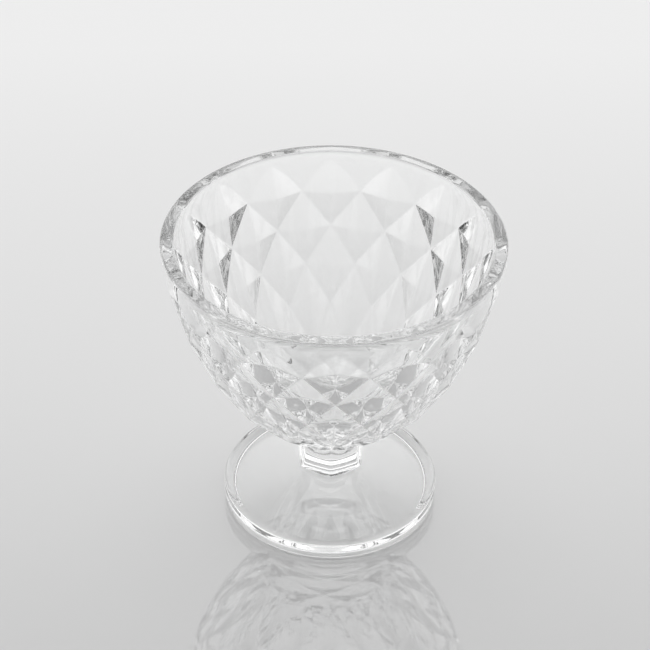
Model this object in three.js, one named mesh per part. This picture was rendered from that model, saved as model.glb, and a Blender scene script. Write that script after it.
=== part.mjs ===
// A footed ice cream bowl of clear pressed glass: a deep round bowl with sixteen columns of
// sunk diamond facets, on a short six-sided stem and a round foot. Millimetres, +Z up.
// The origin is the middle of the standing ring under the foot, and the bowl's axis is +Z.
// The bowl, the stem and the foot meet face to face, where the glass of a real one runs on.

import * as THREE from "three";

// Overall sizes
const HEIGHT = 105;
const RIM_RADIUS = 55; // the outside of the rim, at its widest

// The bowl
const LIP_THICKNESS = 4.5; // nearly flat on top, with rounded edges
const LIP_SQUARENESS = 6; // 2 is a full round, and more is flatter on top
const FLOOR_THICKNESS = 9; // from the inside floor down to the flat base face
const COLLAR_LEDGE = 2.4; // the collar stands out this far past the corners of the stem
const COLLAR_ROUND = 1.2; // the round between the collar and the base face

// The bends of the bowl's walls, each a [radius, depth] share of the rim's radius and the bowl's height
const OUTER_SHOULDER = [0.852, 0.675];
const OUTER_HIP = [0.555, 0.815];
const INNER_SHOULDER = [0.808, 0.518];
const INNER_FLOOR_SPREAD = 0.509;

// The cut pattern
const COLUMNS = 16;
const CORNER_RINGS = 5; // rings of diamond corners, one above the other
const ARCH_TOP_DEPTH = 4.8; // the top facets run up into the plain band in arches, this far below the rim
const FIRST_CORNERS_DEPTH = 15.7; // the highest ring of corners, below the rim
const LAST_CORNERS_RISE = 11.6; // the lowest ring of corners, above the base face
const FACET_RECESS = 2; // the middle of a diamond lies this far inside the chord of its side corners
const PLAIN_UNDERSIDE = 6.8; // width of the smooth ring between the collar and the facets

// The stem
const STEM_SIDES = 6;
const STEM_HEIGHT = 12.6;
const STEM_TOP_CORNER = 10.8; // radius to a corner where the stem meets the bowl
const STEM_WAIST_CORNER = 9.6;
const STEM_BASE_CORNER = 11.7;
const STEM_BASE_ROUNDNESS = 0.3; // how far the sides bulge at the base, from 0 for flat to 1 for a circle
const STEM_TOP_ROUNDNESS = 1; // and where the stem meets the bowl
const STEM_ROUNDING_START = 0.4; // share of the stem's height from which the sides bulge more

// The foot
const FOOT_HEIGHT = 15.4; // up to the flat face that carries the stem
const FOOT_RADIUS = 36.1;
const FOOT_SOLE_ROUND = 2.4; // between the standing ring and the upright edge
const FOOT_EDGE_TOP = 6; // the upright edge ends at this height
const FOOT_SHOULDER_HEIGHT = 8; // the round shoulder meets the sloping top at this height
const FOOT_SHOULDER_WIDTH = 2.1; // and this far in from the edge
const STANDING_RING_WIDTH = 2.1; // the flat ring that the foot stands on, inside the sole's round
const FOOT_HOLLOW_HEIGHT = 8.6; // the underside is hollow up to this height in its middle
const FOOT_HOLLOW_WALL = 1.3; // how tall the hollow's wall is, down to the standing ring
const FOOT_HOLLOW_WALL_WIDTH = 1.3; // and how far it slopes out
const STEM_LANDING = 0.6; // flat ring left round the stem's base

// How finely round things are divided
const CHORD_STEPS = 3; // from a diamond's side corner to its middle
const INNER_STEPS = 12;
const LIP_STEPS = 8;
const BAND_STEPS = 2;
const UNDERSIDE_STEPS = 3;
const ROUND_STEPS = 3;
const STEM_STEPS = 8;
const STEM_SIDE_STEPS = 6;
const SLOPE_STEPS = 6;
const HOLLOW_STEPS = 8;
const FOOT_SEGMENTS = 64;

const TURN = Math.PI / COLUMNS; // from one diamond corner's azimuth to the next
const FRONT = -Math.PI / 2; // the first column faces -Y

const bowlBase = FOOT_HEIGHT + STEM_HEIGHT;
const bowlHeight = HEIGHT - bowlBase;
const collarRadius = STEM_TOP_CORNER + COLLAR_LEDGE;
const lipRound = LIP_THICKNESS / 2;
const soleRadius = FOOT_RADIUS - FOOT_SOLE_ROUND;
const hollowMouth = soleRadius - STANDING_RING_WIDTH;
const hollowRadius = hollowMouth - FOOT_HOLLOW_WALL_WIDTH;

const glass = { color: 0xf4f7f7, roughness: 0.02, metalness: 0, transparent: true, opacity: 0.35 };

const at = (radius, height) => new THREE.Vector2(radius, height);
const share = ([radius, depth]) => at(radius * RIM_RADIUS, depth * bowlHeight);

// The outside of the bowl before its facets are cut, as radius and depth below the rim.
const outside = new THREE.CubicBezierCurve(
  at(RIM_RADIUS, lipRound),
  share(OUTER_SHOULDER),
  share(OUTER_HIP),
  at(collarRadius, bowlHeight - COLLAR_ROUND),
);

// The smooth inside, from the middle of the floor up to the lip.
const floorDepth = bowlHeight - FLOOR_THICKNESS;
const inside = new THREE.CubicBezierCurve(
  at(0, floorDepth),
  at(INNER_FLOOR_SPREAD * RIM_RADIUS, floorDepth),
  share(INNER_SHOULDER),
  at(RIM_RADIUS - LIP_THICKNESS, lipRound),
);

// Where a rising function passes zero, between low and high.
function rootOf(rising, low, high) {
  const middle = (low + high) / 2;
  if (high - low < 1e-9) return middle;
  return rising(middle) > 0 ? rootOf(rising, low, middle) : rootOf(rising, middle, high);
}

// The point of the outside at a depth below the rim, and at a radius.
const outsideAtDepth = (depth) => outside.getPoint(rootOf((t) => outside.getPoint(t).y - depth, 0, 1));
const outsideAtRadius = (radius) => outside.getPoint(rootOf((t) => radius - outside.getPoint(t).x, 0, 1));

// A point at a radius, an azimuth counted in turns from the front, and a depth below the rim.
function around(radius, turns, depth) {
  const angle = FRONT + turns * TURN;
  return new THREE.Vector3(radius * Math.cos(angle), radius * Math.sin(angle), HEIGHT - depth);
}

// The depth of a ring of diamond corners. The rings are evenly spaced.
function ringDepth(ring) {
  const last = bowlHeight - LAST_CORNERS_RISE;
  return FIRST_CORNERS_DEPTH + ((last - FIRST_CORNERS_DEPTH) * ring) / (CORNER_RINGS - 1);
}

const cornerRadius = (ring) => outsideAtDepth(ringDepth(ring)).x;
const middleRadius = (ring) => cornerRadius(ring) * Math.cos(TURN) - FACET_RECESS;

// The corner or the sunk middle of a diamond at a ring and a turn. Corners and middles alternate
// along a ring, and the highest ring has its corners at the odd turns.
function facetPoint(ring, turn) {
  const isCorner = (ring + turn) % 2 !== 0;
  return around(isCorner ? cornerRadius(ring) : middleRadius(ring), turn, ringDepth(ring));
}

// The columns of points that the bowl is built on: their azimuth in turns, the turns of the corner
// and of the diamond beside them, and the radius there of the straight line between those two.
function columns() {
  const corner = at(Math.sin(TURN), Math.cos(TURN)).multiplyScalar(cornerRadius(0));
  const middle = at(0, middleRadius(0));
  const made = [];
  for (let diamond = 0; diamond < 2 * COLUMNS; diamond += 2) {
    for (let step = 1 - CHORD_STEPS; step <= CHORD_STEPS; step++) {
      const p = middle.clone().lerp(corner, Math.abs(step) / CHORD_STEPS);
      const side = step < 0 ? -1 : 1;
      const turns = diamond + (side * Math.atan2(p.x, p.y)) / TURN;
      made.push({ turns, diamond, cornerTurn: diamond + side, radius: p.length() });
    }
  }
  return made;
}

// The point where a top facet runs out into the plain band, at one column. The facet is the plane
// through a side corner, the sunk middle and the top of the arch.
function archPoint(column) {
  const corner = around(cornerRadius(0), column.cornerTurn, ringDepth(0));
  const middle = around(middleRadius(0), column.diamond, ringDepth(0));
  const top = around(outsideAtDepth(ARCH_TOP_DEPTH).x, column.diamond, ARCH_TOP_DEPTH);
  const facet = new THREE.Plane().setFromCoplanarPoints(corner, middle, top);
  const outward = Math.sign(-facet.constant);
  const onOutside = (depth) => around(outsideAtDepth(depth).x, column.turns, depth);
  const past = (depth) => outward * facet.distanceToPoint(onOutside(depth));
  return onOutside(rootOf(past, ARCH_TOP_DEPTH, ringDepth(0)));
}

// A closed surface gathered as triangles, each with its corners counter-clockwise from outside.
class Shell {
  corners = [];

  triangle(a, b, c) {
    if (a.equals(b) || b.equals(c) || c.equals(a)) return;
    this.corners.push(...a.toArray(), ...b.toArray(), ...c.toArray());
  }

  // Joins two closed rings of as many points, of which the first is the upper one on an outside.
  band(upper, lower) {
    upper.forEach((a, i) => {
      const next = (i + 1) % upper.length;
      this.triangle(a, lower[i], lower[next]);
      this.triangle(a, lower[next], upper[next]);
    });
  }

  bands(rings) {
    rings.slice(1).forEach((ring, i) => this.band(rings[i], ring));
  }

  geometry() {
    const made = new THREE.BufferGeometry();
    return made.setAttribute("position", new THREE.Float32BufferAttribute(this.corners, 3));
  }
}

// A ring of points on the columns, all at one radius and depth.
const ringOn = (made, p) => made.map((column) => around(p.x, column.turns, p.y));

// The lip's round, from the inside over the top to the outside.
function lipPoints() {
  const centre = at(RIM_RADIUS - lipRound, lipRound);
  const squared = (share) => lipRound * Math.sign(share) * Math.abs(share) ** (2 / LIP_SQUARENESS);
  return Array.from({ length: LIP_STEPS + 1 }, (_, i) => {
    const angle = Math.PI * (1 - i / LIP_STEPS);
    return centre.clone().add(at(squared(Math.cos(angle)), -squared(Math.sin(angle))));
  });
}

// The line through the first ring of corners and the sunk middles between them.
const firstLine = (made) => made.map((column) => around(column.radius, column.turns, ringDepth(0)));

// The inside, the lip and the plain band, down to the line through the first ring of corners.
function addUpperBowl(shell, made) {
  const inner = inside.getPoints(INNER_STEPS).slice(0, -1);
  const rings = [...inner, ...lipPoints()].map((p) => ringOn(made, p));
  const arch = made.map(archPoint);
  for (let step = 1; step < BAND_STEPS; step++) {
    const depths = arch.map((p) => lipRound + ((HEIGHT - p.z - lipRound) * step) / BAND_STEPS);
    rings.push(made.map((column, i) => around(outsideAtDepth(depths[i]).x, column.turns, depths[i])));
  }
  shell.bands([...rings, arch, firstLine(made)]);
}

// The lower halves of the first diamonds, and the upper halves of those that hang between them.
function addFirstFacets(shell, made) {
  const line = firstLine(made);
  const span = 2 * CHORD_STEPS;
  for (let turn = 0; turn < 2 * COLUMNS; turn += 2) {
    const bottom = facetPoint(1, turn);
    const start = (turn / 2) * span - 1;
    for (let i = start; i < start + span; i++) {
      shell.triangle(line.at(i), bottom, line[i + 1]);
    }
    const corner = line.at(start);
    shell.triangle(corner, facetPoint(1, turn - 2), facetPoint(1, turn - 1));
    shell.triangle(corner, facetPoint(1, turn - 1), bottom);
  }
}

// Between two rings of corners, each cell is split along the ridge from corner to corner.
function addFacetRow(shell, ring) {
  for (let turn = 0; turn < 2 * COLUMNS; turn++) {
    const [a, b] = [facetPoint(ring, turn), facetPoint(ring, turn + 1)];
    const [c, d] = [facetPoint(ring + 1, turn), facetPoint(ring + 1, turn + 1)];
    const cornerFirst = (ring + turn) % 2 !== 0;
    shell.triangle(a, c, cornerFirst ? d : b);
    shell.triangle(cornerFirst ? a : c, d, b);
  }
}

// The smooth underside, from the lowest facets over the collar to the flat base face.
function addUnderside(shell) {
  const turns = Array.from({ length: 2 * COLUMNS }, (_, i) => ({ turns: i }));
  const start = outsideAtRadius(collarRadius + PLAIN_UNDERSIDE);
  const depthAt = (i) => THREE.MathUtils.lerp(start.y, outside.v3.y, i / UNDERSIDE_STEPS);
  const slope = Array.from({ length: UNDERSIDE_STEPS }, (_, i) => outsideAtDepth(depthAt(i)));
  const round = new THREE.QuadraticBezierCurve(
    outside.v3,
    at(collarRadius - COLLAR_ROUND / 3, bowlHeight),
    at(collarRadius - COLLAR_ROUND, bowlHeight),
  );
  const points = [...slope, ...round.getPoints(ROUND_STEPS), at(0, bowlHeight)];
  const lowest = turns.map((column) => facetPoint(CORNER_RINGS - 1, column.turns));
  shell.bands([lowest, ...points.map((p) => ringOn(turns, p))]);
}

function bowlGeometry() {
  const shell = new Shell();
  const made = columns();
  addUpperBowl(shell, made);
  addFirstFacets(shell, made);
  for (let ring = 1; ring < CORNER_RINGS - 1; ring++) addFacetRow(shell, ring);
  addUnderside(shell);
  return shell.geometry();
}

// A closed solid turned about the axis from points that rise along its outside.
const turned = (points, segments) => new THREE.LatheGeometry(points, segments).rotateX(Math.PI / 2);

// How far the stem's sides bulge at a height.
function stemRoundness(height) {
  const share = THREE.MathUtils.smoothstep((height - FOOT_HEIGHT) / STEM_HEIGHT, STEM_ROUNDING_START, 1);
  return THREE.MathUtils.lerp(STEM_BASE_ROUNDNESS, STEM_TOP_ROUNDNESS, share);
}

// A ring round the stem, where the radius to its corners is known. A corner faces the front.
function stemRing(corner, height) {
  const side = (2 * Math.PI) / STEM_SIDES;
  return Array.from({ length: STEM_SIDES * STEM_SIDE_STEPS }, (_, i) => {
    const angle = (side * i) / STEM_SIDE_STEPS;
    const fromMiddle = (side * (i % STEM_SIDE_STEPS)) / STEM_SIDE_STEPS - side / 2;
    const flat = (corner * Math.cos(side / 2)) / Math.cos(fromMiddle);
    return around(THREE.MathUtils.lerp(flat, corner, stemRoundness(height)), angle / TURN, HEIGHT - height);
  });
}

// Six sides drawn in to a waist, which bulge out to a circle under the bowl.
function stemGeometry() {
  const side = new THREE.CubicBezierCurve(
    at(STEM_TOP_CORNER, bowlBase),
    at(STEM_WAIST_CORNER, FOOT_HEIGHT + STEM_HEIGHT * 0.65),
    at(STEM_WAIST_CORNER, FOOT_HEIGHT + STEM_HEIGHT * 0.1),
    at(STEM_BASE_CORNER, FOOT_HEIGHT),
  );
  const points = [at(0, bowlBase), ...side.getPoints(STEM_STEPS), at(0, FOOT_HEIGHT)];
  const shell = new Shell();
  shell.bands(points.map((p) => stemRing(p.x, p.y)));
  return shell.geometry();
}

// A thick disc with an upright edge, a round shoulder, a top that rises to the stem and a hollow underside.
function footGeometry() {
  const landing = STEM_BASE_CORNER + STEM_LANDING;
  const shoulderRadius = FOOT_RADIUS - FOOT_SHOULDER_WIDTH;
  const hollow = new THREE.CubicBezierCurve(
    at(0, FOOT_HOLLOW_HEIGHT),
    at(hollowRadius * 0.35, FOOT_HOLLOW_HEIGHT),
    at(hollowRadius * 0.78, FOOT_HOLLOW_WALL + hollowRadius * 0.066),
    at(hollowRadius, FOOT_HOLLOW_WALL),
  );
  const wall = new THREE.CubicBezierCurve(
    hollow.v3,
    at(hollowRadius + FOOT_HOLLOW_WALL_WIDTH * 0.6, FOOT_HOLLOW_WALL - FOOT_HOLLOW_WALL_WIDTH * 0.18),
    at(hollowMouth, FOOT_HOLLOW_WALL * 0.55),
    at(hollowMouth, 0),
  );
  const sole = new THREE.QuadraticBezierCurve(
    at(soleRadius, 0),
    at(FOOT_RADIUS, 0),
    at(FOOT_RADIUS, FOOT_SOLE_ROUND),
  );
  const shoulder = new THREE.CubicBezierCurve(
    at(FOOT_RADIUS, FOOT_EDGE_TOP),
    at(FOOT_RADIUS, (FOOT_EDGE_TOP + FOOT_SHOULDER_HEIGHT) / 2),
    at(FOOT_RADIUS - FOOT_SHOULDER_WIDTH * 0.5, FOOT_SHOULDER_HEIGHT * 0.97),
    at(shoulderRadius, FOOT_SHOULDER_HEIGHT),
  );
  const rise = FOOT_HEIGHT - FOOT_SHOULDER_HEIGHT;
  const run = shoulderRadius - landing;
  const slope = new THREE.CubicBezierCurve(
    shoulder.v3,
    at(shoulderRadius - run * 0.35, FOOT_SHOULDER_HEIGHT + rise * 0.32),
    at(landing + run * 0.3, FOOT_HEIGHT - rise * 0.36),
    at(landing, FOOT_HEIGHT),
  );
  const points = [
    ...hollow.getPoints(HOLLOW_STEPS),
    ...wall.getPoints(ROUND_STEPS + 2).slice(1),
    ...sole.getPoints(ROUND_STEPS),
    ...shoulder.getPoints(ROUND_STEPS + 1),
    ...slope.getPoints(SLOPE_STEPS).slice(1),
    at(0, FOOT_HEIGHT),
  ];
  return turned(points, FOOT_SEGMENTS);
}

function piece(name, geometry) {
  const mesh = new THREE.Mesh(geometry, new THREE.MeshStandardMaterial(glass));
  mesh.name = name;
  return mesh;
}

const footedBowl = new THREE.Group();
footedBowl.name = "footed_bowl";
footedBowl.add(piece("bowl", bowlGeometry()));
footedBowl.add(piece("stem", stemGeometry()));
footedBowl.add(piece("foot", footGeometry()));

export default footedBowl;
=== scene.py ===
"""A footed ice cream bowl of clear pressed glass, on a pale glossy table in soft light.

The pieces are the bowl with its sunk diamond facets, the six-sided stem and the round foot with its hollow
underside. Sizes in the piece classes are in millimetres, and meshes are put in metres.
"""
import logging
from dataclasses import dataclass, field
from enum import Enum

import bpy
import numpy as np
from mathutils import Matrix, Vector


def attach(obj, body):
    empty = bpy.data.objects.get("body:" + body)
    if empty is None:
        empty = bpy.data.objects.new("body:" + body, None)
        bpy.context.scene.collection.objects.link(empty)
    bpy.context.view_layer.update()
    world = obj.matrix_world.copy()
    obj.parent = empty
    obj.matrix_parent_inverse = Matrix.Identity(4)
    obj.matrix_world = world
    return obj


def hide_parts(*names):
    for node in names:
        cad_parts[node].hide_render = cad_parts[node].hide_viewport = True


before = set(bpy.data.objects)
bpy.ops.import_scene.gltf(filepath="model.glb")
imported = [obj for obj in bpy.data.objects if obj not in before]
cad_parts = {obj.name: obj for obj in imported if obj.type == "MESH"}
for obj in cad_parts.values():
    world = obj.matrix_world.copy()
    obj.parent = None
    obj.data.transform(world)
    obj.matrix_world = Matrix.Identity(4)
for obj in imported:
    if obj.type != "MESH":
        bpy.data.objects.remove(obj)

LOG = logging.getLogger("footed_bowl")
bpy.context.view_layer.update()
METRES = 0.001
SAME_POINT = 1e-5
SHARE_DIGITS = 12


class Face(Enum):
    """The two kinds of surface on a piece, as the slots of its mesh."""

    GLASS = 0
    JOINT = 1


def cubic(points: list[tuple[float, float]], steps: int) -> np.ndarray:
    """A cubic curve through its two ends, bent towards the two points between them.

    Each point weighs in with the Bernstein polynomial of its place, over evenly spaced parameters.

    Args:
        points: Four (radius, height) or (radius, depth) pairs.
        steps: The number of equal steps in the parameter.

    Returns:
        An array of steps + 1 rows and two columns.
    """
    t = np.linspace(0.0, 1.0, steps + 1)[:, None]
    weights = np.hstack([(1 - t) ** 3, 3 * t * (1 - t) ** 2, 3 * t**2 * (1 - t), t**3])
    return weights @ np.array(points, dtype=float)


def arc(
    centre: tuple[float, float], radii: tuple[float, float], start: float, end: float, steps: int
) -> np.ndarray:
    """A part of an ellipse: the centre plus the half axes times the cosine and the sine of the angle.

    Args:
        centre: Radius and height of the ellipse's centre.
        radii: Half axes along radius and height.
        start: First angle in degrees, from the outward direction towards up.
        end: Last angle in degrees.
        steps: The number of equal steps.

    Returns:
        An array of steps + 1 rows and two columns.
    """
    angle = np.radians(np.linspace(start, end, steps + 1))
    return np.stack([centre[0] + radii[0] * np.cos(angle), centre[1] + radii[1] * np.sin(angle)], axis=1)


def squared_round(
    centre: tuple[float, float], radii: tuple[float, float], squareness: float, steps: int
) -> np.ndarray:
    """The upper half of a round with a flattened top, from its inner end over the top to its outer end.

    It is the curve on which the sum of the shares of the two half axes, each raised to the squareness, is
    one. A squareness of 2 is an ellipse. The cosine and the sine are rounded to SHARE_DIGITS, because the
    power would magnify the remainder that they have where they should be 0.

    Args:
        centre: Radius and height of the round's centre.
        radii: Half axes along radius and height.
        squareness: The power.
        steps: The number of steps.

    Returns:
        An array of steps + 1 rows and two columns.
    """
    angle = np.radians(np.linspace(180.0, 0.0, steps + 1))
    way = np.round(np.stack([np.cos(angle), np.sin(angle)], axis=1), SHARE_DIGITS)
    share = np.sign(way) * np.abs(way) ** (2.0 / squareness)
    return np.array(centre) + share * np.array(radii)


def soft_least(values: np.ndarray, width: float) -> np.ndarray:
    """The least of several values with its creases rounded.

    It is minus the width times the log of the sum of exp(-value / width).

    Args:
        values: The values, with one candidate for each row of the first axis.
        width: How far the rounding reaches, in the values' own unit.

    Returns:
        The rounded least along the first axis.
    """
    low = values.min(axis=0)
    return low - width * np.log(np.exp((low - values) / width).sum(axis=0))


def soft_greatest(values: np.ndarray, width: float) -> np.ndarray:
    """The greatest of several values with its creases rounded: minus the soft least of their negatives."""
    return -soft_least(-values, width)


@dataclass(frozen=True)
class Azimuths:
    """The columns of points that every piece is built on, closer together beside each whole turn.

    A turn is the angle from one diamond corner to the next, and turn 0 faces the front, which is -Y.
    """

    diamonds: int = 16
    offsets: tuple[float, ...] = (0.0, 0.02, 0.06, 0.13, 0.24, 0.37, 0.5, 0.63, 0.76, 0.87, 0.94, 0.98)

    @property
    def turn(self) -> float:
        """The angle of one turn, in radians."""
        return np.pi / self.diamonds

    def turns(self) -> np.ndarray:
        """The azimuth of each column, counted in turns from the front."""
        whole = np.arange(2 * self.diamonds)[:, None]
        return (whole + np.array(self.offsets)[None, :]).ravel()

    def place(self, radius: np.ndarray, height: np.ndarray) -> np.ndarray:
        """Points at a radius and a height on every column.

        The point is (radius cos a, radius sin a, height), with a the column's angle less a quarter circle.

        Args:
            radius: An array that broadcasts to rows by columns.
            height: An array of the same kind.

        Returns:
            Points as rows by columns by three.
        """
        angle = self.turns() * self.turn - np.pi / 2
        radius, height, angle = np.broadcast_arrays(radius, height, angle[None, :])
        return np.stack([radius * np.cos(angle), radius * np.sin(angle), height], axis=-1)

    def turned(self, profile: np.ndarray) -> np.ndarray:
        """The points of a (radius, height) profile turned about the axis onto every column."""
        return self.place(profile[:, :1], profile[:, 1:])


AZIMUTHS = Azimuths()


def glass_piece(name: str, grid: np.ndarray, joint_rows: np.ndarray) -> bpy.types.Object:
    """A closed mesh from rings of points that run from one pole on the axis to the other.

    A point within SAME_POINT millimetres of the one before it in its column is the same vertex, each pole
    is one vertex, and every cell of the grid is split into two triangles, less those that have no area.

    Args:
        name: The object's name.
        grid: Points in millimetres, as rows by columns by three. The first and last rows are poles.
        joint_rows: For each band between two rows, whether it is a joint with the next piece.

    Returns:
        The new object, linked to the scene, with its place in its mesh.
    """
    rows, columns, _ = grid.shape
    still = np.zeros((rows, columns), dtype=bool)
    still[1:] = np.linalg.norm(np.diff(grid, axis=0), axis=2) < SAME_POINT
    own_row = np.where(still, 0, np.arange(rows)[:, None])
    first = np.maximum.accumulate(own_row, axis=0) * columns + np.arange(columns)[None, :]
    first[0, :] = 0
    first[-1, :] = (rows - 1) * columns
    used, index = np.unique(first, return_inverse=True)
    index = index.reshape(rows, columns)
    after = np.roll(index, -1, axis=1)
    lower = np.stack([index[:-1], index[1:], after[1:]], axis=-1)
    upper = np.stack([index[:-1], after[1:], after[:-1]], axis=-1)
    faces = np.stack([lower, upper], axis=2).reshape(-1, 3)
    slots = np.repeat(np.where(joint_rows, Face.JOINT.value, Face.GLASS.value), 2 * columns)
    whole = (faces[:, 0] != faces[:, 1]) & (faces[:, 1] != faces[:, 2]) & (faces[:, 2] != faces[:, 0])
    faces, slots = faces[whole], slots[whole]
    points = grid.reshape(-1, 3)[used] * METRES

    mesh = bpy.data.meshes.new(name)
    mesh.vertices.add(len(points))
    mesh.vertices.foreach_set("co", points.astype(np.float32).ravel())
    mesh.loops.add(faces.size)
    mesh.loops.foreach_set("vertex_index", faces.astype(np.int32).ravel())
    mesh.polygons.add(len(faces))
    mesh.polygons.foreach_set("loop_start", np.arange(0, faces.size, 3, dtype=np.int32))
    mesh.polygons.foreach_set("material_index", slots.astype(np.int32))
    mesh.polygons.foreach_set("use_smooth", slots == Face.GLASS.value)
    mesh.update(calc_edges=True)
    mesh.validate()
    piece = bpy.data.objects.new(name, mesh)
    bpy.context.scene.collection.objects.link(piece)
    return piece


@dataclass(frozen=True)
class PressedGlass:
    """Clear fire-polished glass, very faintly uneven as pressed glass is."""

    name: str = "clear_pressed_glass"
    colour: tuple[float, float, float, float] = (0.993, 0.996, 0.995, 1.0)
    index: float = 1.52
    roughness: float = 0.0
    wave_size: float = 0.009
    wave_depth: float = 0.00002

    def material(self) -> bpy.types.Material:
        """Makes the material: a full transmission shader with a slow noise in its normals.

        Returns:
            The new material.
        """
        made = bpy.data.materials.new(self.name)
        made.use_nodes = True
        nodes, links = made.node_tree.nodes, made.node_tree.links
        shader = nodes["Principled BSDF"]
        shader.inputs["Base Color"].default_value = self.colour
        shader.inputs["Roughness"].default_value = self.roughness
        shader.inputs["IOR"].default_value = self.index
        shader.inputs["Transmission Weight"].default_value = 1.0
        place = nodes.new("ShaderNodeTexCoord")
        wave = nodes.new("ShaderNodeTexNoise")
        wave.inputs["Scale"].default_value = 1.0 / self.wave_size
        wave.inputs["Detail"].default_value = 1.0
        bump = nodes.new("ShaderNodeBump")
        bump.inputs["Strength"].default_value = 1.0
        bump.inputs["Distance"].default_value = self.wave_depth
        links.new(place.outputs["Object"], wave.inputs["Vector"])
        links.new(wave.outputs["Fac"], bump.inputs["Height"])
        links.new(bump.outputs["Normal"], shader.inputs["Normal"])
        return made


@dataclass(frozen=True)
class RunOnGlass:
    """The face where the glass of one piece runs on into the next, which light crosses unbent."""

    name: str = "run_on_glass"

    def material(self) -> bpy.types.Material:
        """Makes the material: a clear transparent shader.

        Returns:
            The new material.
        """
        made = bpy.data.materials.new(self.name)
        made.use_nodes = True
        nodes, links = made.node_tree.nodes, made.node_tree.links
        nodes.remove(nodes["Principled BSDF"])
        through = nodes.new("ShaderNodeBsdfTransparent")
        links.new(through.outputs["BSDF"], nodes["Material Output"].inputs["Surface"])
        return made


@dataclass(frozen=True)
class Finishes:
    """The two materials of a glass piece, made once and shared."""

    glass: bpy.types.Material
    joint: bpy.types.Material

    def dress(self, piece: bpy.types.Object, node: str) -> None:
        """Gives a piece its materials and its body, and hides the CAD node that it replaces.

        Args:
            piece: The new object.
            node: The CAD node that it replaces.
        """
        piece.data.materials.append(self.glass)
        piece.data.materials.append(self.joint)
        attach(piece, "root")
        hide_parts(node)


@dataclass
class Stem:
    """The short stem: six slightly bulging sides, drawn in to a waist, that turn round under the bowl.

    A corner is to the front. The waist's shares are the places of the corner line's two inner points, as
    shares of the stem's height.
    """

    base: float = 15.4
    top: float = 28.0
    base_corner: float = 11.7
    waist_corner: float = 9.6
    top_corner: float = 10.8
    sides: int = 6
    edge_softness: float = 0.25
    base_roundness: float = 0.3
    top_roundness: float = 1.0
    rounding_start: float = 0.4
    waist_shares: tuple[float, float] = (0.1, 0.65)
    least_slant: float = 0.2
    steps: int = 40

    def profile(self) -> np.ndarray:
        """The corner line up the stem, as a cubic curve drawn in to the waist.

        Returns:
            Radii and heights, in two columns.
        """
        tall = self.top - self.base
        low, high = ((self.waist_corner, self.base + share * tall) for share in self.waist_shares)
        return cubic([(self.base_corner, self.base), low, high, (self.top_corner, self.top)], self.steps)

    def outline(self, corner: np.ndarray, roundness: np.ndarray) -> np.ndarray:
        """The stem's radius on every column, where the radius to its corners is known.

        It is the soft least over the six sides of apothem / cos(angle from the side's middle), mixed with a
        circle through the corners by the roundness. A side that faces away takes the least slant as its
        cosine, which puts it too far out to count.

        Args:
            corner: Radii to the corner, one for each row.
            roundness: From 0 for six flat sides to 1 for a circle, one for each row.

        Returns:
            Radii as rows by columns.
        """
        angle = AZIMUTHS.turns() * AZIMUTHS.turn
        middles = (np.arange(self.sides) + 0.5) * 2 * np.pi / self.sides
        slant = np.cos(angle[None, :] - middles[:, None])
        reach = 1.0 / np.maximum(slant, self.least_slant)
        apothem = corner[:, None] * np.cos(np.pi / self.sides)
        flat = soft_least(apothem[None, :, :] * reach[:, None, :], self.edge_softness)
        return flat + (corner[:, None] - flat) * roundness[:, None]

    def roundness(self, height: np.ndarray) -> np.ndarray:
        """How far the sides bulge at a height: a smooth step from the base's roundness to the top's.

        The step of a share s is s squared times (3 - 2 s).

        Args:
            height: Heights between the base and the top.

        Returns:
            From 0 for flat sides to 1 for a circle, one for each height.
        """
        share = (height - self.base) / (self.top - self.base)
        share = np.clip((share - self.rounding_start) / (1 - self.rounding_start), 0.0, 1.0)
        step = share * share * (3 - 2 * share)
        return self.base_roundness + (self.top_roundness - self.base_roundness) * step

    def end_row(self, corner: float, height: float) -> np.ndarray:
        """The row of points round an end of the stem, where the bowl or the foot meets it.

        Args:
            corner: The radius to the stem's corners there.
            height: The end's height.

        Returns:
            Points as one row by columns by three.
        """
        level = np.array([height])
        return AZIMUTHS.place(self.outline(np.array([corner]), self.roundness(level)), level[:, None])

    def build(self) -> bpy.types.Object:
        """Builds the stem with a flat joint face at each end.

        Returns:
            The stem's object.
        """
        side = self.profile()
        radius = self.outline(side[:, 0], self.roundness(side[:, 1]))
        wall = AZIMUTHS.place(radius, side[:, 1:])
        poles = [AZIMUTHS.turned(np.array([[0.0, z]])) for z in (self.top, self.base)]
        grid = np.concatenate([poles[0], wall[::-1], poles[1]])
        joints = np.zeros(len(grid) - 1, dtype=bool)
        joints[[0, -1]] = True
        return glass_piece("stem_glass", grid, joints)


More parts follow.
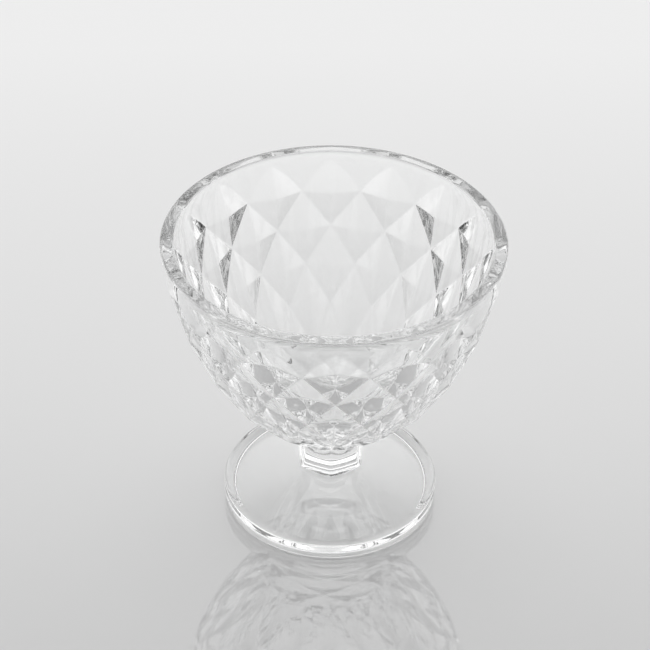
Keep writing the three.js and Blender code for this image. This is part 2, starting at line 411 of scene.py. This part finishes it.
@dataclass
class Bowl:
    """The bowl: a nearly flat lip with rounded edges, a smooth inside and sunk diamond facets outside.

    The shoulders, the hip and the spread of the inner floor are the inner points of the two side curves, as
    shares of the rim's radius and of the bowl's own height. The collar's bends are those of its round, as
    shares of the round's size. The cell steps are the rows between two creases, as shares of the way,
    closer together beside the upper and the lower one.
    """

    stem: Stem
    rim_radius: float = 55.0
    rim_height: float = 105.0
    lip_thickness: float = 4.5
    lip_squareness: float = 6.0
    floor_thickness: float = 9.0
    collar_ledge: float = 2.4
    collar_round: float = 1.2
    collar_bend: tuple[float, float] = (0.22, 0.33)
    collar_low_bend: float = 1 / 3
    outer_shoulder: tuple[float, float] = (0.852, 0.675)
    outer_hip: tuple[float, float] = (0.555, 0.815)
    inner_shoulder: tuple[float, float] = (0.808, 0.518)
    inner_floor_spread: float = 0.509
    rings: int = 5
    arch_top: float = 4.8
    first_corners: float = 15.7
    last_corners_rise: float = 11.6
    facet_recess: float = 2.0
    plain_underside: float = 6.8
    ridge_softness: float = 0.05
    valley_softness: float = 0.04
    cell_steps: tuple[float, ...] = (0.0, 0.03, 0.08, 0.18, 0.34, 0.5, 0.66, 0.82, 0.92, 0.97)
    outline_steps: int = 4000
    inner_steps: int = 44
    lip_steps: int = 28
    band_steps: int = 8
    underside_steps: int = 13
    collar_steps: int = 8
    halvings: int = 50
    tall: float = field(init=False)
    collar: float = field(init=False)
    outside: np.ndarray = field(init=False)

    def __post_init__(self) -> None:
        """Works out the bowl's own height, the collar's radius and the outer curve as radius and depth."""
        self.tall = self.rim_height - self.stem.top
        self.collar = self.stem.top_corner + self.collar_ledge
        shares = [(r * self.rim_radius, d * self.tall) for r, d in (self.outer_shoulder, self.outer_hip)]
        ends = [(self.rim_radius, self.lip_thickness / 2), (self.collar, self.tall - self.collar_round)]
        self.outside = cubic([ends[0], *shares, ends[1]], self.outline_steps)

    def radius_at(self, depth: np.ndarray) -> np.ndarray:
        """The turned outside's radius at a depth below the rim."""
        return np.interp(depth, self.outside[:, 1], self.outside[:, 0])

    def depth_at(self, radius: float) -> float:
        """The turned outside's depth at a radius."""
        return float(np.interp(radius, self.outside[::-1, 0], self.outside[::-1, 1]))

    def ring_depth(self, ring: int) -> float:
        """The depth of a ring of diamond corners. The rings are evenly spaced."""
        last = self.tall - self.last_corners_rise
        return self.first_corners + (last - self.first_corners) * ring / (self.rings - 1)

    def tips(self, ring: int) -> tuple[float, float]:
        """The depths of the upper and the lower tip of the diamonds whose side corners are on a ring.

        Args:
            ring: The ring's number, from 0 for the highest.

        Returns:
            The two depths. The highest tips are the tops of the arches, and the lowest end the facets.
        """
        above = self.ring_depth(ring - 1) if ring else self.arch_top
        plain = self.depth_at(self.collar + self.plain_underside)
        below = self.ring_depth(ring + 1) if ring < self.rings - 1 else plain
        return above, below

    def facet(self, ring: int, tip_depth: float) -> tuple[np.ndarray, float]:
        """The plane of a diamond's right-hand facet, in the diamond's own frame.

        The frame is sideways, outwards and depth. The plane goes through the sunk middle, the right side
        corner and a tip, so its normal is the cross product of the ways from the middle to those two.

        Args:
            ring: The ring of the diamond's side corners.
            tip_depth: The depth of the tip.

        Returns:
            The normal and its product with any point of the plane.
        """
        depth = self.ring_depth(ring)
        radius = float(self.radius_at(depth))
        side = np.array([radius * np.sin(AZIMUTHS.turn), radius * np.cos(AZIMUTHS.turn), depth])
        middle = np.array([0.0, side[1] - self.facet_recess, depth])
        tip = np.array([0.0, float(self.radius_at(tip_depth)), tip_depth])
        normal = np.cross(side - middle, tip - middle)
        normal *= np.sign(normal[1])
        return normal, float(normal @ middle)

    def facet_radius(
        self, plane: tuple[np.ndarray, float], angle: np.ndarray, depth: np.ndarray
    ) -> np.ndarray:
        """How far out a facet's plane lies at an angle from the diamond's middle and a depth.

        Args:
            plane: A normal and its product with a point of the plane.
            angle: Angles in radians.
            depth: Depths below the rim.

        Returns:
            The radius at which the ray from the axis meets the plane.
        """
        normal, product = plane
        return (product - normal[2] * depth) / (normal[0] * np.sin(angle) + normal[1] * np.cos(angle))

    def diamond_radius(self, ring: int, angle: np.ndarray, depth: np.ndarray) -> np.ndarray:
        """The sunk four-sided hollow of one diamond: the soft greatest of its four facets.

        Args:
            ring: The ring of the diamond's side corners.
            angle: Angles in radians from the diamond's middle.
            depth: Depths below the rim, of the same shape.

        Returns:
            The radii of the hollow's surface.
        """
        planes = [self.facet(ring, tip) for tip in self.tips(ring)]
        values = [self.facet_radius(plane, sign * angle, depth) for plane in planes for sign in (1, -1)]
        return soft_greatest(np.array(values), self.valley_softness)

    def outer_radius(self, turns: np.ndarray, depth: np.ndarray) -> np.ndarray:
        """The outside's radius: the soft least of the turned body and of the hollows of every diamond near.

        On each ring a point lies between the middles of two diamonds, which are two turns apart, and near
        and far are its ways from the nearer and the farther one.

        Args:
            turns: Azimuths in turns, as rows by columns.
            depth: Depths below the rim, of the same shape.

        Returns:
            The radii.
        """
        candidates = [self.radius_at(depth)]
        for ring in range(self.rings):
            near = (turns - ring + 1) % 2 - 1
            far = near - 2 * np.where(near < 0, -1, 1)
            candidates += [self.diamond_radius(ring, side * AZIMUTHS.turn, depth) for side in (near, far)]
        return soft_least(np.array(candidates), self.ridge_softness)

    def ridge_depth(self, angle: np.ndarray, even_ring: int, odd_ring: int) -> np.ndarray:
        """The depth of the straight ridge between a corner at an even turn and one at an odd turn.

        Seen from above the ridge is a straight line too, and its depth changes evenly along it, up to where
        the ray at the angle crosses it.

        Args:
            angle: Angles from the even turn, between 0 and a turn.
            even_ring: The ring of the corner at the even turn.
            odd_ring: The ring of the corner at the odd turn.

        Returns:
            The depths where the ridge crosses those angles.
        """
        depths = [self.ring_depth(even_ring), self.ring_depth(odd_ring)]
        even, odd = (float(self.radius_at(d)) for d in depths)
        across = odd * np.sin(AZIMUTHS.turn) - (odd * np.cos(AZIMUTHS.turn) - even) * np.tan(angle)
        return depths[0] + (depths[1] - depths[0]) * even * np.tan(angle) / across

    def run_out_depth(self, angle: np.ndarray, ring: int, tip_depth: float) -> np.ndarray:
        """Where an end diamond's facet runs out into the turned body, found by halving.

        Args:
            angle: Angles from the diamond's middle.
            ring: The ring of its side corners.
            tip_depth: The depth of its tip.

        Returns:
            The depths, from the tip's at the middle to the side corner's a turn away.
        """
        plane = self.facet(ring, tip_depth)
        sunk = np.full_like(angle, self.ring_depth(ring))
        plain = np.full_like(angle, tip_depth)
        for _ in range(self.halvings):
            middle = (sunk + plain) / 2
            inside = self.facet_radius(plane, angle, middle) < self.radius_at(middle)
            sunk, plain = np.where(inside, middle, sunk), np.where(inside, plain, middle)
        return (sunk + plain) / 2

    def from_middle(self, ring: int) -> np.ndarray:
        """The angle of each column from the nearest middle of a ring's diamonds, to either side."""
        return np.abs((AZIMUTHS.turns() - ring + 1) % 2 - 1) * AZIMUTHS.turn

    def crease_depths(self) -> list[np.ndarray]:
        """The depth on every column of each crease, from the arches down to where the facets end.

        They are the arches, then a level line and a zigzag of ridges for each ring, and the lower arcs.

        Returns:
            One array of depths for each crease, from the top.
        """
        last = self.rings - 1
        top, bottom = self.tips(0)[0], self.tips(last)[1]
        from_even = self.from_middle(0)
        creases = [self.run_out_depth(from_even, 0, top)]
        for ring in range(self.rings):
            creases.append(np.full_like(from_even, self.ring_depth(ring)))
            if ring < last:
                odd_ring, even_ring = (ring, ring + 1) if ring % 2 == 0 else (ring + 1, ring)
                creases.append(self.ridge_depth(from_even, even_ring, odd_ring))
        creases.append(self.run_out_depth(self.from_middle(last), last, bottom))
        return creases

    def outer_rows(self) -> np.ndarray:
        """The outside from under the lip to the collar, on rows that follow every crease.

        Returns:
            Points as rows by columns by three.
        """
        turns = AZIMUTHS.turns()
        lip_end = np.full_like(turns, self.lip_thickness / 2)
        last = np.full_like(turns, self.tall - self.collar_round)
        creases = self.crease_depths()
        band = np.linspace(0.0, 1.0, self.band_steps + 1)[1:-1, None]
        depth = [lip_end + (creases[0] - lip_end) * band]
        steps = np.array(self.cell_steps)[:, None]
        depth += [upper + (lower - upper) * steps for upper, lower in zip(creases, creases[1:])]
        under = np.linspace(0.0, 1.0, self.underside_steps + 1)[:, None]
        depth.append(creases[-1] + (last - creases[-1]) * under)
        depth = np.concatenate(depth)
        radius = self.outer_radius(np.broadcast_to(turns, depth.shape), depth)
        radius[-1] = self.collar
        return AZIMUTHS.place(radius, self.rim_height - depth)

    def inner_rows(self) -> np.ndarray:
        """The smooth inside from the middle of its floor up, and the lip, as a turned profile.

        Returns:
            Points as rows by columns by three.
        """
        floor = self.tall - self.floor_thickness
        half = self.lip_thickness / 2
        spread = (self.inner_floor_spread * self.rim_radius, floor)
        shoulder = (self.inner_shoulder[0] * self.rim_radius, self.inner_shoulder[1] * self.tall)
        edge = (self.rim_radius - self.lip_thickness, half)
        inner = cubic([(0.0, floor), spread, shoulder, edge], self.inner_steps)
        inner[:, 1] = self.rim_height - inner[:, 1]
        centre = (self.rim_radius - half, self.rim_height - half)
        lip = squared_round(centre, (half, half), self.lip_squareness, self.lip_steps)
        return AZIMUTHS.turned(np.concatenate([inner[:-1], lip]))

    def base_rows(self) -> np.ndarray:
        """The collar's round, the flat ring round the stem and the middle of the base face.

        Returns:
            Points as rows by columns by three.
        """
        z = self.stem.top
        flat = self.collar - self.collar_round
        inwards, upwards = self.collar_bend
        low = (self.collar - inwards * self.collar_round, z + upwards * self.collar_round)
        lowest = (self.collar - self.collar_low_bend * self.collar_round, z)
        start = (self.collar, z + self.collar_round)
        edge = cubic([start, low, lowest, (flat, z)], self.collar_steps)[1:]
        seat = self.stem.end_row(self.stem.top_corner, z)
        return np.concatenate([AZIMUTHS.turned(edge), seat, AZIMUTHS.turned(np.array([[0.0, z]]))])

    def build(self) -> bpy.types.Object:
        """Builds the bowl, with its joint face where the stem meets it.

        Returns:
            The bowl's object.
        """
        grid = np.concatenate([self.inner_rows(), self.outer_rows(), self.base_rows()])
        joints = np.zeros(len(grid) - 1, dtype=bool)
        joints[-1] = True
        return glass_piece("bowl_glass", grid, joints)


@dataclass
class Foot:
    """The round foot: it stands on a flat ring round a hollow underside.

    Its edge is upright, its shoulder is round, and its top rises to the stem. The bends place the inner
    points of its cubic curves, each as a share of one of its widths or heights.
    """

    stem: Stem
    radius: float = 36.1
    sole_round: float = 2.4
    standing_ring: float = 2.1
    edge_top: float = 6.0
    shoulder_height: float = 8.0
    shoulder_width: float = 2.1
    shoulder_bend: tuple[float, float] = (0.5, 0.97)
    slope_low_bend: tuple[float, float] = (0.35, 0.32)
    slope_high_bend: tuple[float, float] = (0.3, 0.36)
    landing_width: float = 0.6
    hollow_height: float = 8.6
    hollow_middle_bend: float = 0.35
    hollow_outer_bend: tuple[float, float] = (0.78, 0.066)
    hollow_wall: float = 1.3
    hollow_wall_width: float = 1.3
    wall_top_bend: tuple[float, float] = (0.6, 0.18)
    wall_foot_bend: float = 0.55
    curve_steps: int = 40
    slope_steps: int = 36
    round_steps: int = 20
    heel_steps: int = 8
    flat_steps: int = 4

    def underside(self) -> np.ndarray:
        """The hollow, its wall and the standing ring, from the middle outwards.

        Returns:
            Radii and heights, in two columns.
        """
        outer = self.radius - self.sole_round
        mouth = outer - self.standing_ring
        wall, out = self.hollow_wall, self.hollow_wall_width
        wide, tall = mouth - out, self.hollow_height
        share, lift = self.hollow_outer_bend
        bends = (self.hollow_middle_bend * wide, tall), (share * wide, wall + lift * wide)
        hollow = cubic([(0.0, tall), *bends, (wide, wall)], self.curve_steps)
        share, dip = self.wall_top_bend
        bends = (wide + share * out, wall - dip * out), (mouth, self.wall_foot_bend * wall)
        drop = cubic([(wide, wall), *bends, (mouth, 0.0)], self.round_steps)
        ring = np.linspace((mouth, 0.0), (outer, 0.0), self.flat_steps + 1)
        return np.concatenate([hollow, drop[1:], ring[1:-1]])

    def edge(self) -> np.ndarray:
        """The round under the edge, the upright edge and the round shoulder.

        Returns:
            Radii and heights, in two columns.
        """
        sole = self.sole_round
        heel = arc((self.radius - sole, sole), (sole, sole), -90.0, 0.0, self.heel_steps)
        upright = np.linspace((self.radius, sole), (self.radius, self.edge_top), self.flat_steps + 1)
        middle = (self.radius, (self.edge_top + self.shoulder_height) / 2)
        inwards, upwards = self.shoulder_bend
        upper = (self.radius - inwards * self.shoulder_width, upwards * self.shoulder_height)
        ends = (self.radius, self.edge_top), (self.radius - self.shoulder_width, self.shoulder_height)
        bend = cubic([ends[0], middle, upper, ends[1]], self.round_steps)
        return np.concatenate([heel, upright[1:], bend[1:]])

    def slope(self) -> np.ndarray:
        """The top from the shoulder up to the landing round the stem.

        Returns:
            Radii and heights, in two columns.
        """
        height = self.stem.base
        landing = self.stem.base_corner + self.landing_width
        shoulder = self.radius - self.shoulder_width
        rise, run = height - self.shoulder_height, shoulder - landing
        inwards, upwards = self.slope_low_bend
        low = (shoulder - inwards * run, self.shoulder_height + upwards * rise)
        outwards, downwards = self.slope_high_bend
        high = (landing + outwards * run, height - downwards * rise)
        return cubic([(shoulder, self.shoulder_height), low, high, (landing, height)], self.slope_steps)

    def profile(self) -> np.ndarray:
        """The whole outline from the middle of the hollow to the landing, as radius and height."""
        return np.concatenate([self.underside(), self.edge(), self.slope()[1:]])

    def build(self) -> bpy.types.Object:
        """Builds the foot, with its joint face where it carries the stem.

        Returns:
            The foot's object.
        """
        z = self.stem.base
        seat = self.stem.end_row(self.stem.base_corner, z)
        rows = [AZIMUTHS.turned(self.profile()), seat, AZIMUTHS.turned(np.array([[0.0, z]]))]
        grid = np.concatenate(rows)[::-1]
        joints = np.zeros(len(grid) - 1, dtype=bool)
        joints[0] = True
        return glass_piece("foot_glass", grid, joints)


@dataclass(frozen=True)
class TableTop:
    """A pale glossy table top, a little lighter towards the back: painted light, standing in for the light
    behind the bowl that brightens its far part.

    Its grey and its glow rise between two places along Y, and stay the same past them.
    """

    name: str = "pale_table"
    front: float = 0.46
    back: float = 0.61
    front_glow: float = 0.185
    back_glow: float = 0.35
    painted_lift_through_glass: float = 1.15
    front_y: float = -0.2
    back_y: float = 0.3
    roughness: float = 0.03
    index: float = 2.4
    reach: float = 6.0
    air_gap: float = 0.0001

    def ramp(self, tree: bpy.types.NodeTree, front: float, back: float) -> bpy.types.NodeSocket:
        """Adds nodes for a grey that rises along Y.

        Args:
            tree: The material's node tree.
            front: The grey in front of the bowl.
            back: The grey behind it.

        Returns:
            The socket that carries the grey.
        """
        place = tree.nodes.new("ShaderNodeTexCoord")
        split = tree.nodes.new("ShaderNodeSeparateXYZ")
        rise = tree.nodes.new("ShaderNodeMapRange")
        rise.inputs["From Min"].default_value = self.front_y
        rise.inputs["From Max"].default_value = self.back_y
        rise.inputs["To Min"].default_value = front
        rise.inputs["To Max"].default_value = back
        tree.links.new(place.outputs["Object"], split.inputs["Vector"])
        tree.links.new(split.outputs["Y"], rise.inputs["Value"])
        return rise.outputs["Result"]

    def material(self) -> bpy.types.Material:
        """Makes the material: a grey under a clear gloss, lifted a little for the rays that show it, and
        lifted more by painted light where it is seen through the glass.

        Returns:
            The new material.
        """
        made = bpy.data.materials.new(self.name)
        made.use_nodes = True
        tree = made.node_tree
        nodes, links = tree.nodes, tree.links
        shader = nodes["Principled BSDF"]
        shader.inputs["Roughness"].default_value = self.roughness
        shader.inputs["IOR"].default_value = self.index
        # Painted light: the grey rises towards the back, standing in for the light behind the bowl.
        links.new(self.ramp(tree, self.front, self.back), shader.inputs["Base Color"])
        rays = nodes.new("ShaderNodeLightPath")
        # Painted light: the table seen through the glass glows more, standing in for the light that reaches
        # it through the glass.
        through = nodes.new("ShaderNodeMath")
        through.operation = "MULTIPLY"
        through.inputs[1].default_value = self.painted_lift_through_glass
        links.new(rays.outputs["Is Transmission Ray"], through.inputs[0])
        shown = rays.outputs["Is Camera Ray"]
        for kind in (rays.outputs["Is Glossy Ray"], through.outputs["Value"]):
            either = nodes.new("ShaderNodeMath")
            either.operation = "MAXIMUM"
            links.new(shown, either.inputs[0])
            links.new(kind, either.inputs[1])
            shown = either.outputs["Value"]
        level = nodes.new("ShaderNodeMath")
        level.operation = "MULTIPLY"
        links.new(shown, level.inputs[0])
        # Painted light: the glow also rises towards the back, for the same light behind the bowl.
        links.new(self.ramp(tree, self.front_glow, self.back_glow), level.inputs[1])
        glow = nodes.new("ShaderNodeEmission")
        links.new(level.outputs["Value"], glow.inputs["Strength"])
        both = nodes.new("ShaderNodeAddShader")
        links.new(shader.outputs["BSDF"], both.inputs[0])
        links.new(glow.outputs["Emission"], both.inputs[1])
        links.new(both.outputs["Shader"], nodes["Material Output"].inputs["Surface"])
        return made

    def build(self) -> bpy.types.Object:
        """Builds the table top as one wide square face, a hair below the foot's standing ring.

        Returns:
            The table top's object.
        """
        half = self.reach / 2
        low = -self.air_gap
        corners = [(-half, -half, low), (half, -half, low), (half, half, low), (-half, half, low)]
        mesh = bpy.data.meshes.new("table_top")
        mesh.from_pydata(corners, [], [(0, 1, 2, 3)])
        mesh.materials.append(self.material())
        piece = bpy.data.objects.new("table_top", mesh)
        bpy.context.scene.collection.objects.link(piece)
        return piece


@dataclass(frozen=True)
class SoftBox:
    """The one lamp: a wide soft area lamp over the bowl, a little behind it."""

    name: str = "overhead"
    place: tuple[float, float, float] = (0.0, 0.25, 1.4)
    size: tuple[float, float] = (0.7, 0.5)
    power: float = 1.6
    aim_height: float = 0.05

    def build(self) -> bpy.types.Object:
        """Builds the lamp, turned to face the middle of the bowl.

        Returns:
            The lamp's object.
        """
        lamp = bpy.data.lights.new(self.name, "AREA")
        lamp.shape = "RECTANGLE"
        lamp.size, lamp.size_y = self.size
        lamp.energy = self.power
        thing = bpy.data.objects.new(self.name, lamp)
        thing.location = self.place
        aim = Vector((0.0, 0.0, self.aim_height)) - Vector(self.place)
        thing.rotation_euler = aim.to_track_quat("-Z", "Y").to_euler()
        bpy.context.scene.collection.objects.link(thing)
        return thing


@dataclass(frozen=True)
class Room:
    """The studio round the table: pale light behind the bowl, which falls off in front and overhead.

    The bounds between which it rises and falls are the direction's Y and Z, from -1 to 1.
    """

    behind: float = 1.2
    front: float = 0.02
    dark_until: float = -0.65
    light_from: float = 0.65
    overhead: float = 0.25
    fall_from: float = 0.62
    fall_to: float = 0.95

    def build(self) -> None:
        """Makes the world: a grey that rises with the direction's Y, times a strength that falls with Z."""
        world = bpy.data.worlds.new("studio")
        world.use_nodes = True
        nodes, links = world.node_tree.nodes, world.node_tree.links
        place = nodes.new("ShaderNodeTexCoord")
        split = nodes.new("ShaderNodeSeparateXYZ")
        rise = nodes.new("ShaderNodeMapRange")
        rise.interpolation_type = "SMOOTHSTEP"
        rise.inputs["From Min"].default_value = self.dark_until
        rise.inputs["From Max"].default_value = self.light_from
        rise.inputs["To Min"].default_value = self.front
        rise.inputs["To Max"].default_value = self.behind
        links.new(place.outputs["Generated"], split.inputs["Vector"])
        links.new(split.outputs["Y"], rise.inputs["Value"])
        fall = nodes.new("ShaderNodeMapRange")
        fall.interpolation_type = "SMOOTHSTEP"
        fall.inputs["From Min"].default_value = self.fall_from
        fall.inputs["From Max"].default_value = self.fall_to
        fall.inputs["To Min"].default_value = 1.0
        fall.inputs["To Max"].default_value = self.overhead
        links.new(split.outputs["Z"], fall.inputs["Value"])
        links.new(rise.outputs["Result"], nodes["Background"].inputs["Color"])
        links.new(fall.outputs["Result"], nodes["Background"].inputs["Strength"])
        bpy.context.scene.world = world


@dataclass(frozen=True)
class Viewpoint:
    """The camera: a long lens that looks down at the bowl from the front, very slightly rolled."""

    distance: float = 0.7145
    elevation: float = 37.1
    azimuth: float = 1.21
    roll: float = 0.835
    aim_side: float = -0.00246
    aim_height: float = 0.0706
    focal_pixels: float = 2200.0
    frame_pixels: float = 650.0
    sensor_width: float = 36.0
    far: float = 50.0

    def build(self) -> bpy.types.Object:
        """Builds the camera and makes it the scene's own.

        Returns:
            The camera's object.
        """
        rise, turn, roll = np.radians([self.elevation, self.azimuth, self.roll])
        back = Vector((-np.sin(turn) * np.cos(rise), -np.cos(turn) * np.cos(rise), np.sin(rise)))
        right = Vector((np.cos(turn), -np.sin(turn), 0.0))
        up = back.cross(right)
        across = right * np.cos(roll) + up * np.sin(roll)
        upward = up * np.cos(roll) - right * np.sin(roll)
        place = right * self.aim_side + Vector((0.0, 0.0, self.aim_height)) + back * self.distance
        data = bpy.data.cameras.new("viewpoint")
        data.sensor_width = self.sensor_width
        data.lens = data.sensor_width * self.focal_pixels / self.frame_pixels
        data.clip_end = self.far
        camera = bpy.data.objects.new("viewpoint", data)
        columns = Matrix((across, upward, back)).transposed().to_4x4()
        camera.matrix_world = Matrix.Translation(place) @ columns
        bpy.context.scene.collection.objects.link(camera)
        bpy.context.scene.camera = camera
        return camera


@dataclass(frozen=True)
class LightPaths:
    """How often light may bounce, so that it gets through many walls of glass."""

    through_glass: int = 32
    off_gloss: int = 16
    off_matt: int = 4

    def settle(self) -> None:
        """Sets the limits on bounces, and the plain view transform."""
        scene = bpy.context.scene
        scene.view_settings.view_transform = "Standard"
        scene.cycles.max_bounces = self.through_glass
        scene.cycles.transmission_bounces = self.through_glass
        scene.cycles.transparent_max_bounces = self.through_glass
        scene.cycles.glossy_bounces = self.off_gloss
        scene.cycles.diffuse_bounces = self.off_matt


def main() -> None:
    """Builds the pieces in order, then the studio and the camera."""
    logging.basicConfig(level=logging.INFO, format="%(message)s")
    finishes = Finishes(PressedGlass().material(), RunOnGlass().material())
    stem = Stem()
    for node, maker in (("bowl", Bowl(stem)), ("stem", stem), ("foot", Foot(stem))):
        piece = maker.build()
        finishes.dress(piece, node)
        LOG.info("%s: %d faces for node %s", piece.name, len(piece.data.polygons), node)
    TableTop().build()
    Room().build()
    SoftBox().build()
    Viewpoint().build()
    LightPaths().settle()


if __name__ == "__main__":
    main()
